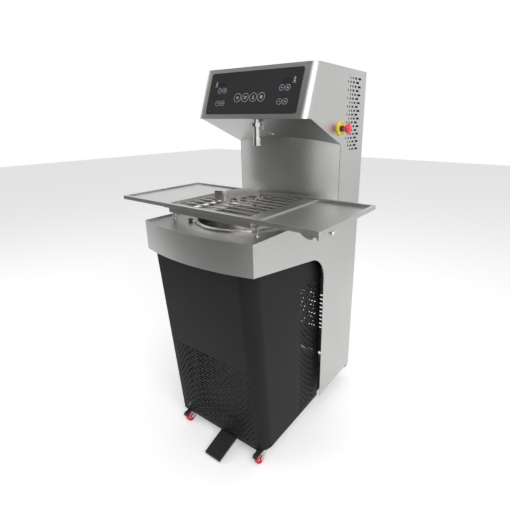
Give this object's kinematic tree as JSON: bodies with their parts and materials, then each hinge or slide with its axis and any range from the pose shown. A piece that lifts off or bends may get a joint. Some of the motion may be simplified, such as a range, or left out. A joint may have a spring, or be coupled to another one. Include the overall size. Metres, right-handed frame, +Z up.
{
  "type": "chocolate tempering machine",
  "caption": "Floor-standing tempering machine: mixing bowl under a vibrating draining table, screw-fed spout in an overhanging head, touch panel, foot pedal and casters.",
  "frame": {"origin": "centre of the overall box in plan, on the floor the casters stand on", "axes": "+X to the machine's own right seen from the front, +Y to the back, +Z up"},
  "size_m": [0.918, 0.802, 1.5],
  "materials": {
    "brushed_steel": "brushed, satin",
    "polished_steel": "polished",
    "black_paint": "matt black powder coat",
    "grey_paint": "grey primer",
    "machine_paint": "dark machine enamel",
    "bright_zinc": "bright zinc plating",
    "red_wheel": "moulded polyurethane",
    "black_plastic": "moulded",
    "control_glass": "back-printed touch glass",
    "seal_rubber": "food-grade silicone",
    "yellow_plastic": "moulded",
    "red_plastic": "moulded",
    "fin_aluminium": "finned"
  },
  "bodies": {
    "machine": {"side_panel_right": "brushed_steel", "side_panel_left": "brushed_steel", "back_panel": "brushed_steel", "top_cover": "brushed_steel", "head_front": "brushed_steel", "control_glass": "control_glass", "control_box": "black_plastic", "head_underside": "brushed_steel", "splash_panel": "brushed_steel", "front_band": "brushed_steel", "deck": "brushed_steel", "lower_cover": "black_paint", "base_frame": "grey_paint", "caster_mounts": "bright_zinc", "pedal_bracket": "polished_steel", "pedal_pin": "polished_steel", "pedal_spring": "polished_steel", "bowl": "brushed_steel", "bowl_knobs": "black_plastic", "mixer_gearmotor": "machine_paint", "auger_tube": "brushed_steel", "auger_gearmotor": "machine_paint", "feed_pipe": "brushed_steel", "delivery_pipe": "brushed_steel", "spout_gasket": "seal_rubber", "spout": "brushed_steel", "clamp_rear_half": "polished_steel", "clamp_pin": "polished_steel", "spring_studs": "polished_steel", "table_springs": "polished_steel", "condenser": "fin_aluminium", "fan_shroud": "black_plastic", "compressor": "machine_paint", "power_inlet": "black_plastic", "stop_collar": "yellow_plastic", "stop_switch": "black_plastic"},
    "table": {"tray": "brushed_steel", "table_carrier": "brushed_steel", "vibration_motor": "machine_paint"},
    "table_knob": {"table_knob": "polished_steel"},
    "grate": {"grate": "brushed_steel"},
    "stream_guard": {"stream_guard": "brushed_steel"},
    "mixer": {"mixer_paddle": "brushed_steel"},
    "screw": {"auger_screw": "brushed_steel"},
    "fan": {"fan_rotor": "black_plastic"},
    "pedal": {"pedal": "black_paint"},
    "stop_stem": {"stop_stem": "polished_steel"},
    "stop_button": {"stop_button": "red_plastic"},
    "clamp_front": {"clamp_front_half": "polished_steel"},
    "clamp_lever": {"clamp_lever": "polished_steel"},
    "brake_left": {"brake_tab_left": "black_plastic"},
    "brake_right": {"brake_tab_right": "black_plastic"},
    "fork_front_left": {"caster_fork_front_left": "bright_zinc"},
    "wheel_front_left": {"caster_wheel_front_left": "red_wheel"},
    "fork_rear_left": {"caster_fork_rear_left": "bright_zinc"},
    "wheel_rear_left": {"caster_wheel_rear_left": "red_wheel"},
    "fork_front_right": {"caster_fork_front_right": "bright_zinc"},
    "wheel_front_right": {"caster_wheel_front_right": "red_wheel"},
    "fork_rear_right": {"caster_fork_rear_right": "bright_zinc"},
    "wheel_rear_right": {"caster_wheel_rear_right": "red_wheel"}
  },
  "joints": [
    {"name": "swivel_front_left", "type": "hinge", "parent": "machine", "child": "fork_front_left", "pos_m": [-0.199, -0.261, 0.057], "axis": [0, 0, 1], "continuous": true},
    {"name": "roll_front_left", "type": "hinge", "parent": "fork_front_left", "child": "wheel_front_left", "pos_m": [-0.199, -0.286, 0.025], "axis": [1, 0, 0], "continuous": true},
    {"name": "brake_left", "type": "hinge", "parent": "fork_front_left", "child": "brake_left", "pos_m": [-0.199, -0.288, 0.0534], "axis": [1, 0, 0], "range_deg": [0, 12]},
    {"name": "swivel_rear_left", "type": "hinge", "parent": "machine", "child": "fork_rear_left", "pos_m": [-0.199, 0.341, 0.057], "axis": [0, 0, 1], "continuous": true},
    {"name": "roll_rear_left", "type": "hinge", "parent": "fork_rear_left", "child": "wheel_rear_left", "pos_m": [-0.199, 0.366, 0.025], "axis": [1, 0, 0], "continuous": true},
    {"name": "swivel_front_right", "type": "hinge", "parent": "machine", "child": "fork_front_right", "pos_m": [0.199, -0.261, 0.057], "axis": [0, 0, 1], "continuous": true},
    {"name": "roll_front_right", "type": "hinge", "parent": "fork_front_right", "child": "wheel_front_right", "pos_m": [0.199, -0.286, 0.025], "axis": [1, 0, 0], "continuous": true},
    {"name": "brake_right", "type": "hinge", "parent": "fork_front_right", "child": "brake_right", "pos_m": [0.199, -0.288, 0.0534], "axis": [1, 0, 0], "range_deg": [0, 12]},
    {"name": "swivel_rear_right", "type": "hinge", "parent": "machine", "child": "fork_rear_right", "pos_m": [0.199, 0.341, 0.057], "axis": [0, 0, 1], "continuous": true},
    {"name": "roll_rear_right", "type": "hinge", "parent": "fork_rear_right", "child": "wheel_rear_right", "pos_m": [0.199, 0.366, 0.025], "axis": [1, 0, 0], "continuous": true},
    {"name": "table_shake", "type": "slide", "parent": "machine", "child": "table", "axis": [0, 0, 1], "range_m": [-0.003, 0.003], "stiffness_N_per_m": 20000, "springref_m": 0.00495, "deforming": ["table_springs"]},
    {"name": "grate_lift", "type": "slide", "parent": "table", "child": "grate", "axis": [0, 0, 1], "range_m": [0, 0.08]},
    {"name": "guard_lift", "type": "slide", "parent": "grate", "child": "stream_guard", "axis": [0, 0, 1], "range_m": [0, 0.06]},
    {"name": "knob_turn", "type": "hinge", "parent": "table", "child": "table_knob", "pos_m": [0.429, -0.228, 0.995], "axis": [1, 0, 0], "continuous": true},
    {"name": "mixer_turn", "type": "hinge", "parent": "machine", "child": "mixer", "pos_m": [0.02, -0.112, 0.76], "axis": [0, 0, 1], "continuous": true},
    {"name": "screw_turn", "type": "hinge", "parent": "machine", "child": "screw", "pos_m": [0.02, 0.29, 1], "axis": [0, 0, 1], "continuous": true},
    {"name": "fan_turn", "type": "hinge", "parent": "machine", "child": "fan", "pos_m": [0, -0.177, 0.221], "axis": [0, 1, 0], "continuous": true},
    {"name": "pedal_press", "type": "hinge", "parent": "machine", "child": "pedal", "pos_m": [0.036, -0.232, 0.059], "axis": [1, 0, 0], "range_deg": [0, 3.5], "stiffness_Nm_per_rad": 3, "springref_deg": -10},
    {"name": "stop_press", "type": "slide", "parent": "machine", "child": "stop_stem", "axis": [-1, 0, 0], "range_m": [0, 0.005], "stiffness_N_per_m": 800, "springref_m": -0.002},
    {"name": "stop_twist", "type": "hinge", "parent": "stop_stem", "child": "stop_button", "pos_m": [0.284, 0.181, 1.281], "axis": [1, 0, 0], "range_deg": [0, 45], "stiffness_Nm_per_rad": 0.03},
    {"name": "clamp_open", "type": "hinge", "parent": "machine", "child": "clamp_front", "pos_m": [-0.005, -0.036, 1.296], "axis": [0, 0, -1], "range_deg": [0, 100]},
    {"name": "clamp_lever_turn", "type": "hinge", "parent": "machine", "child": "clamp_lever", "pos_m": [0.044, -0.031, 1.296], "axis": [0, 1, 0], "range_deg": [-30, 20]}
  ]
}
